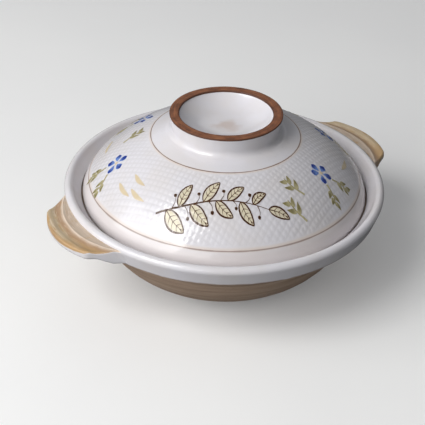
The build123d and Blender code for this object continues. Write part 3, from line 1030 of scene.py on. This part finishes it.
class DONABE_OT_knob(bpy.types.Operator):
    """Makes the knob's bare ring and the glaze in its cup"""

    bl_idname = "donabe.knob"
    bl_label = "Knob"

    def execute(self, context):
        settings, colours = settings_of(context)
        clay = knob_material(colours)
        wall, cup = lid_outline(), cup_outline()
        under_wall, under_cup = sunk(wall, -COAT), sunk(cup, -COAT)
        foot = past(under_wall, KNOB_FOOT + FLARE_WIDTH - COAT - SLACK)
        cup_end = (cup[-1][0] + CLAY_INSET, cup[-1][1] - COAT)
        wall_end = (wall[0][0] - CLAY_INSET, wall[0][1] - COAT)
        ring = [cup_end, (CUP, KNOB_TOP), (KNOB, KNOB_TOP), wall_end]
        outline = joined([LAND, (0, LAND[1])], under_cup[:-1], ring, under_wall[1:foot])
        outline = softened(outline)
        new_piece("knob_ring", *turned(outline, settings.turns), clay, "lid", "knob_clay", "knob")
        white = cup_material(colours)
        vertices, faces = turned(joined(cup, under_cup[::-1]), settings.turns)
        vertices = ragged(vertices, KNOB_TOP - BARE_EDGE, 0.3, 8)
        new_piece("knob_cup_coat", vertices, faces, white, "lid", "white_glaze", "knob_cup_glaze")
        return {"FINISHED"}


# Camera and light, measured round the pot from the side the pot is seen from


CAMERA_SIDE = radians(-34.3)
CAMERA_PLACE = (0.0, -761.41, 547.92)
CAMERA_PAN, CAMERA_TILT, CAMERA_ROLL = radians(-0.7005), radians(33.378), radians(1.4153)
CAMERA_VIEW = radians(22.887)
FLOOR_HALF_METRES = 6.0
PAPER, PAPER_COOL, PAPER_FOR_LIGHT = (0.83, 0.83, 0.825), (0.80, 0.80, 0.80), (0.24, 0.24, 0.24)
ROOM_LIGHT, ROOM_SEEN = (0.95, 0.97, 1.0, 1), (1, 1, 1, 1)


def seen(x, y, z):
    """A direction or place given as right, away and up in the picture, in the frame's axes."""
    c, s = cos(CAMERA_SIDE), sin(CAMERA_SIDE)
    return Vector((x * c - y * s, x * s + y * c, z))


def area_lamp(name, place, width, height, power, colour=(1, 1, 1)):
    """A softbox that faces the pot."""
    lamp = bpy.data.lights.new(name, "AREA")
    lamp.shape, lamp.size, lamp.size_y = "RECTANGLE", width, height
    lamp.energy, lamp.color = power, colour
    holder = bpy.data.objects.new(name, lamp)
    holder.location = place
    holder.rotation_mode = "QUATERNION"
    holder.rotation_quaternion = (place - Vector((0, 0, 0.08))).to_track_quat("Z", "Y")
    bpy.context.scene.collection.objects.link(holder)
    return holder


# Painting, laid out by the angle from the side that is seen, positive to the right, and by radius


def spot(angle, radius):
    """A place on the dome, seen from above, from its angle in degrees and its radius."""
    place = seen(radius * sin(radians(angle)), -radius * cos(radians(angle)), 0)
    return np.array((place.x, place.y))


def flowing(points):
    """A smooth line through points, with even steps, and its run from 0 to 1."""
    p = np.asarray(points, float)
    p = np.vstack([2 * p[0] - p[1], p, 2 * p[-1] - p[-2]])
    line = []
    for a, b, c, d in zip(p, p[1:], p[2:], p[3:]):
        for t in np.linspace(0, 1, 24, endpoint=False):
            curve = (2 * a - 5 * b + 4 * c - d) * t**2 + (3 * b - a - 3 * c + d) * t**3
            line.append(0.5 * (2 * b + (c - a) * t + curve))
    line = np.array(line + [p[-2]])
    length = np.concatenate([[0], np.cumsum(np.hypot(*np.diff(line, axis=0).T))])
    even = np.linspace(0, length[-1], max(6, int(length[-1] / BRUSH_STEP)))
    return np.column_stack([np.interp(even, length, line[:, k]) for k in (0, 1)]), even / length[-1]


def sides_of(line):
    """Unit vectors to the left of a line's way."""
    way = np.gradient(line, axis=0)
    way /= np.linalg.norm(way, axis=1)[:, None]
    return np.column_stack([-way[:, 1], way[:, 0]])


# How wide the brush is pressed along a stroke's run from 0 to 1


PRESS = {
    "line": lambda t: 0.4 + 0.6 * np.sin(pi * t) ** 0.6,
    "taper": lambda t: 1.0 - 0.75 * t,
    "leaf": lambda t: np.sin(pi * t**0.85) ** 0.8 + 0.02,
    "petal": lambda t: np.sin(pi * t**1.5) ** 0.7 + 0.05,
    "blade": lambda t: np.sin(pi * t**0.6) ** 0.9 + 0.03,
}


class Brush:
    """Strokes of one colour, each a thin raised film on the dome."""

    def __init__(self, relief, lift):
        self.relief, self.lift = relief, lift
        self.vertices, self.faces, self.across, self.along = [], [], [], []

    def on_dome(self, flat, lift):
        """Points on the dome's printed face under points seen from above."""
        radius, angle = np.hypot(flat[..., 0], flat[..., 1]), np.arctan2(flat[..., 1], flat[..., 0])
        nr = (radius - DOME_ARC_OUT) / DOME_ARC
        nz = np.sqrt(1 - nr**2)
        lift = lift + self.relief(radius, 0, nr, nz, angle)
        out, up = radius + nr * lift, DOME_ARC_UP + nz * DOME_ARC + nz * lift
        return np.stack([out * np.cos(angle), out * np.sin(angle), up], -1)

    def stroke(self, points, width, press):
        """A stroke through points whose width follows the brush's pressure."""
        line, along = flowing(points)
        half = width / 2 * PRESS[press](along)
        count = max(3, int(width / BRUSH_STEP) + 1)
        across = np.linspace(-1, 1, count)
        flat = line[:, None] + sides_of(line)[:, None] * (half[:, None] * across[None])[..., None]
        top, under = self.on_dome(flat, self.lift), self.on_dome(flat, self.lift - PAINT_FILM)
        rows = np.concatenate([top, under[:, ::-1]], 1)
        vertices, faces = looped(rows)
        start = len(self.vertices)
        self.vertices.extend(vertices)
        self.faces.extend([[start + i for i in face] for face in faces])
        edge = np.abs(np.concatenate([across, across[::-1]]))
        self.across.extend(np.tile(edge, len(line)))
        self.along.extend(np.repeat(along, 2 * count))
        return line

    def dot(self, centre, radius):
        """A round touch of the brush."""
        self.stroke([centre + (-radius, 0), centre, centre + (radius, 0)], 2 * radius, "leaf")

    def lay(self, name, material):
        """The piece of all the strokes made so far."""
        piece = new_piece(name, self.vertices, self.faces, material, "lid", "white_glaze")
        mark(piece, "across", self.across)
        mark(piece, "along", self.along)


def turned_way(way, degrees):
    """A direction turned to the left."""
    a = radians(degrees)
    return np.array((way[0] * cos(a) - way[1] * sin(a), way[0] * sin(a) + way[1] * cos(a)))


def drawn_leaf(ink, wash, base, way, length, width, bend, rng):
    """A leaf drawn with two pressed edges, a midrib and veins over a pale wash."""
    way = way / np.linalg.norm(way)
    side = np.array((-way[1], way[0]))
    middle = [base, base + way * length * 0.5 + side * bend, base + way * length]
    line = wash.stroke(middle, width, "leaf")
    along = np.linspace(0, 1, len(line))
    reach = (width / 2 * PRESS["leaf"](along))[:, None] * sides_of(line)
    for sign in (1, -1):
        edge = line + sign * reach
        ink.stroke(edge[:: max(1, len(edge) // 6)].tolist() + [edge[-1]], 1.1 + 0.3 * rng.random(), "line")
        for share in (0.28, 0.46, 0.64, 0.8):
            i, j = int(share * len(line)), min(len(line) - 1, int((share + 0.13) * len(line)))
            halfway = line[i] * 0.4 + (line[j] + sign * reach[j]) * 0.6
            ink.stroke([line[i], halfway, line[j] + sign * reach[j] * 0.8], 0.6, "taper")
    ink.stroke(middle, 0.7, "taper")


def leafy_sprig(ink, wash, stem, leaf_length, rng):
    """An arching stem with leaves to both sides, a leaf at its tip and berries between them."""
    line = ink.stroke(stem, 1.5, "taper")
    normals = sides_of(line)
    for k, share in enumerate(np.linspace(0.1, 0.86, 8)):
        i = int(share * (len(line) - 1))
        way = line[min(i + 2, len(line) - 1)] - line[max(i - 2, 0)]
        sign = 1 if k % 2 else -1
        length = leaf_length * (1.0 - 0.3 * share) * rng.uniform(0.88, 1.12)
        lean = turned_way(way, sign * rng.uniform(38, 56))
        drawn_leaf(ink, wash, line[i], lean, length, length * 0.42, sign * rng.uniform(0.6, 1.6), rng)
        j = min(int((share + 0.045) * (len(line) - 1)), len(line) - 1)
        berry = line[j] - sign * normals[j] * rng.uniform(5.0, 9.0) + way * 0.8
        ink.stroke([line[j], (line[j] + berry) / 2 + way * 0.4, berry], 0.6, "taper")
        ink.dot(berry, rng.uniform(1.2, 1.6))
    drawn_leaf(ink, wash, line[-1], line[-1] - line[-4], leaf_length * 0.8, leaf_length * 0.32, 0.8, rng)


def blossom(blue, ochre, centre, size, rng):
    """Five loose petals round an ochre heart."""
    first = rng.uniform(0, 72)
    for k in range(5):
        way = turned_way(np.array((1.0, 0.0)), first + 72 * k + rng.uniform(-8, 8))
        petal = [centre + way * 0.22 * size, centre + way * 0.6 * size, centre + way * size]
        blue.stroke(petal, size * 0.55, "petal")
    ochre.dot(centre, size * 0.16)


def twig(brush, base, way, length, rng):
    """A thin stem with small leaves in pairs."""
    way = way / np.linalg.norm(way)
    side = np.array((-way[1], way[0]))
    line = brush.stroke([base, base + way * length * 0.5 + side * 1.5, base + way * length], 1.7, "taper")
    for k, share in enumerate((0.35, 0.5, 0.68, 0.84)):
        i = int(share * (len(line) - 1))
        sign = 1 if k % 2 else -1
        lean = turned_way(way, sign * rng.uniform(34, 50))
        reach = length * (0.55 - 0.2 * share)
        blade = [line[i], line[i] + lean * reach * 0.5 + side * sign * 0.5, line[i] + lean * reach]
        brush.stroke(blade, 3.6, "blade")


class DONABE_OT_painting(bpy.types.Operator):
    """Paints a leafy sprig, blossoms and twigs on the dome"""

    bl_idname = "donabe.painting"
    bl_label = "Painting"

    def execute(self, context):
        settings, colours = settings_of(context)
        relief = cloth_relief(settings)
        rng = np.random.default_rng(21)
        wash, ink = Brush(relief, 0.16), Brush(relief, 0.22)
        blue, olive, ochre = Brush(relief, 0.2), Brush(relief, 0.18), Brush(relief, 0.17)
        stem = [spot(-31, 101), spot(-20, 92), spot(-4, 85), spot(10, 86), spot(22, 93)]
        leafy_sprig(ink, wash, stem, 21.0, rng)
        back_stem = [spot(168, 100), spot(180, 90), spot(196, 84)]
        leafy_sprig(ink, wash, back_stem, 15.0, rng)
        for angle, radius in ((-74, 92), (64, 86), (112, 92), (-118, 80)):
            centre = spot(angle, radius)
            blossom(blue, ochre, centre, 9.0, rng)
            for spread in (-34, 28):
                away = turned_way(spot(angle, 1), spread)
                twig(olive, centre + away * 9.5, away, 15.0, rng)
        for angle, radius in ((-50, 88), (-45, 97), (-54, 99), (86, 100), (-96, 100)):
            bend = [spot(angle - 5.5, radius - 2), spot(angle, radius), spot(angle + 5.5, radius + 0.5)]
            ochre.stroke(bend, 3.6, "leaf")
        for angle, radius in ((44, 84), (38, 99), (-90, 78), (142, 96)):
            twig(olive, spot(angle, radius + 7), turned_way(spot(angle, -1), 24), 18.0, rng)
        for brush, piece, paint, ends, body, edge in (
            (wash, "painted_wash", "wash_cream", colours.cream, colours.cream, colours.glaze_warm),
            (ink, "painted_ink", "ink_brown", colours.ink, colours.ink, colours.ink_thin),
            (blue, "painted_blue", "petal_blue", colours.blue, colours.blue_thin, colours.blue_thin),
            (olive, "painted_olive", "twig_olive", colours.olive, colours.olive_thin, colours.olive_thin),
            (ochre, "painted_ochre", "dab_ochre", colours.ochre, colours.ochre, colours.glaze_warm),
        ):
            brush.lay(piece, brushed(paint, ends, body, edge))
        return {"FINISHED"}


def add_camera(scene):
    """The camera at the place and angle that the picture was taken from."""
    level = cos(CAMERA_TILT)
    forward = seen(sin(CAMERA_PAN) * level, cos(CAMERA_PAN) * level, -sin(CAMERA_TILT))
    right = forward.cross(Vector((0, 0, 1))).normalized()
    up = right.cross(forward)
    c, s = cos(CAMERA_ROLL), sin(CAMERA_ROLL)
    right, up = right * c + up * s, up * c - right * s
    camera = bpy.data.objects.new("camera", bpy.data.cameras.new("camera"))
    axes = Matrix((right, up, -forward)).transposed().to_4x4()
    camera.matrix_world = Matrix.Translation(seen(*CAMERA_PLACE) * MM) @ axes
    camera.data.angle = CAMERA_VIEW
    scene.collection.objects.link(camera)
    scene.camera = camera


def floor_paper():
    """Pale paper that shows white far off to the camera, and throws little light up at the pot."""
    recipe = Recipe("floor_paper")
    tone = recipe.mix(recipe.span(recipe.noise(3.0, 3.0), 0.3, 0.7), PAPER_COOL, PAPER)
    from_camera = recipe.node("ShaderNodeLightPath").outputs["Is Camera Ray"]
    tone = recipe.mix(from_camera, PAPER_FOR_LIGHT, tone)
    far = recipe.span(recipe.flat, 0.8, 3.2, 0.12, 0.6)
    recipe.feed(recipe.shader.inputs["Emission Color"], (1, 1, 1, 1))
    recipe.feed(recipe.shader.inputs["Emission Strength"], recipe.times(from_camera, far))
    return recipe.finish(tone, 0.55, recipe.bump(recipe.noise(300.0, 2.0), 0.05, 0.0005))


def add_floor(scene):
    """A wide square floor under the foot ring."""
    mesh = bpy.data.meshes.new("floor")
    half = FLOOR_HALF_METRES
    corners = [(-half, -half, 0), (half, -half, 0), (half, half, 0), (-half, half, 0)]
    mesh.from_pydata(corners, [], [(0, 1, 2, 3)])
    mesh.materials.append(floor_paper())
    floor = bpy.data.objects.new("floor", mesh)
    scene.collection.objects.link(floor)


def add_room(scene):
    """Soft light from all round, where the camera sees plain white."""
    world = scene.world or bpy.data.worlds.new("studio")
    scene.world = world
    world.use_nodes = True
    nodes, links = world.node_tree.nodes, world.node_tree.links
    nodes.clear()
    out = nodes.new("ShaderNodeOutputWorld")
    mix = nodes.new("ShaderNodeMixShader")
    path = nodes.new("ShaderNodeLightPath")
    links.new(path.outputs["Is Camera Ray"], mix.inputs[0])
    for socket, colour, strength in ((1, ROOM_LIGHT, 0.19), (2, ROOM_SEEN, 0.95)):
        light = nodes.new("ShaderNodeBackground")
        light.inputs[0].default_value, light.inputs[1].default_value = colour, strength
        links.new(light.outputs[0], mix.inputs[socket])
    links.new(mix.outputs[0], out.inputs[0])


class DONABE_OT_stage(bpy.types.Operator):
    """Sets the camera, the pale floor and the studio light"""

    bl_idname = "donabe.stage"
    bl_label = "Stage"

    def execute(self, context):
        scene = context.scene
        add_camera(scene)
        add_floor(scene)
        add_room(scene)
        area_lamp("window", seen(-0.79, -0.65, 1.27), 0.78, 0.62, 11.0, (1.0, 0.99, 0.97))
        area_lamp("window_glow", seen(-1.8, -0.9, 1.15), 2.2, 1.4, 32.0)
        area_lamp("front", seen(-0.9, -1.7, 0.95), 1.4, 0.8, 8.0)
        area_lamp("back", seen(-0.3, 1.7, 1.3), 1.8, 0.9, 2.5)
        scene.view_settings.view_transform = "Standard"
        return {"FINISHED"}


OPERATORS = (
    DONABE_OT_stage,
    DONABE_OT_pot,
    DONABE_OT_rim,
    DONABE_OT_handles,
    DONABE_OT_lid,
    DONABE_OT_knob,
    DONABE_OT_painting,
)


class DONABE_PT_panel(bpy.types.Panel):
    """Lists the pot's pieces with their sizes and colours"""

    bl_label = "Donabe"
    bl_idname = "DONABE_PT_panel"
    bl_space_type = "VIEW_3D"
    bl_region_type = "UI"
    bl_category = "Donabe"

    def draw(self, context):
        for group in (context.scene.donabe, context.scene.donabe_colours):
            box = self.layout.box()
            for name in group.__annotations__:
                box.prop(group, name)
        for operator in OPERATORS:
            self.layout.operator(operator.bl_idname)


CLASSES = (DonabeSettings, DonabeColours, *OPERATORS, DONABE_PT_panel)


def register():
    for made in CLASSES:
        bpy.utils.register_class(made)
    bpy.types.Scene.donabe = bpy.props.PointerProperty(type=DonabeSettings)
    bpy.types.Scene.donabe_colours = bpy.props.PointerProperty(type=DonabeColours)


def unregister():
    del bpy.types.Scene.donabe_colours
    del bpy.types.Scene.donabe
    for made in reversed(CLASSES):
        bpy.utils.unregister_class(made)


def main():
    """Registers the add-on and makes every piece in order."""
    register()
    for operator in OPERATORS:
        getattr(bpy.ops.donabe, operator.bl_idname.split(".")[1])()


if __name__ == "__main__":
    main()
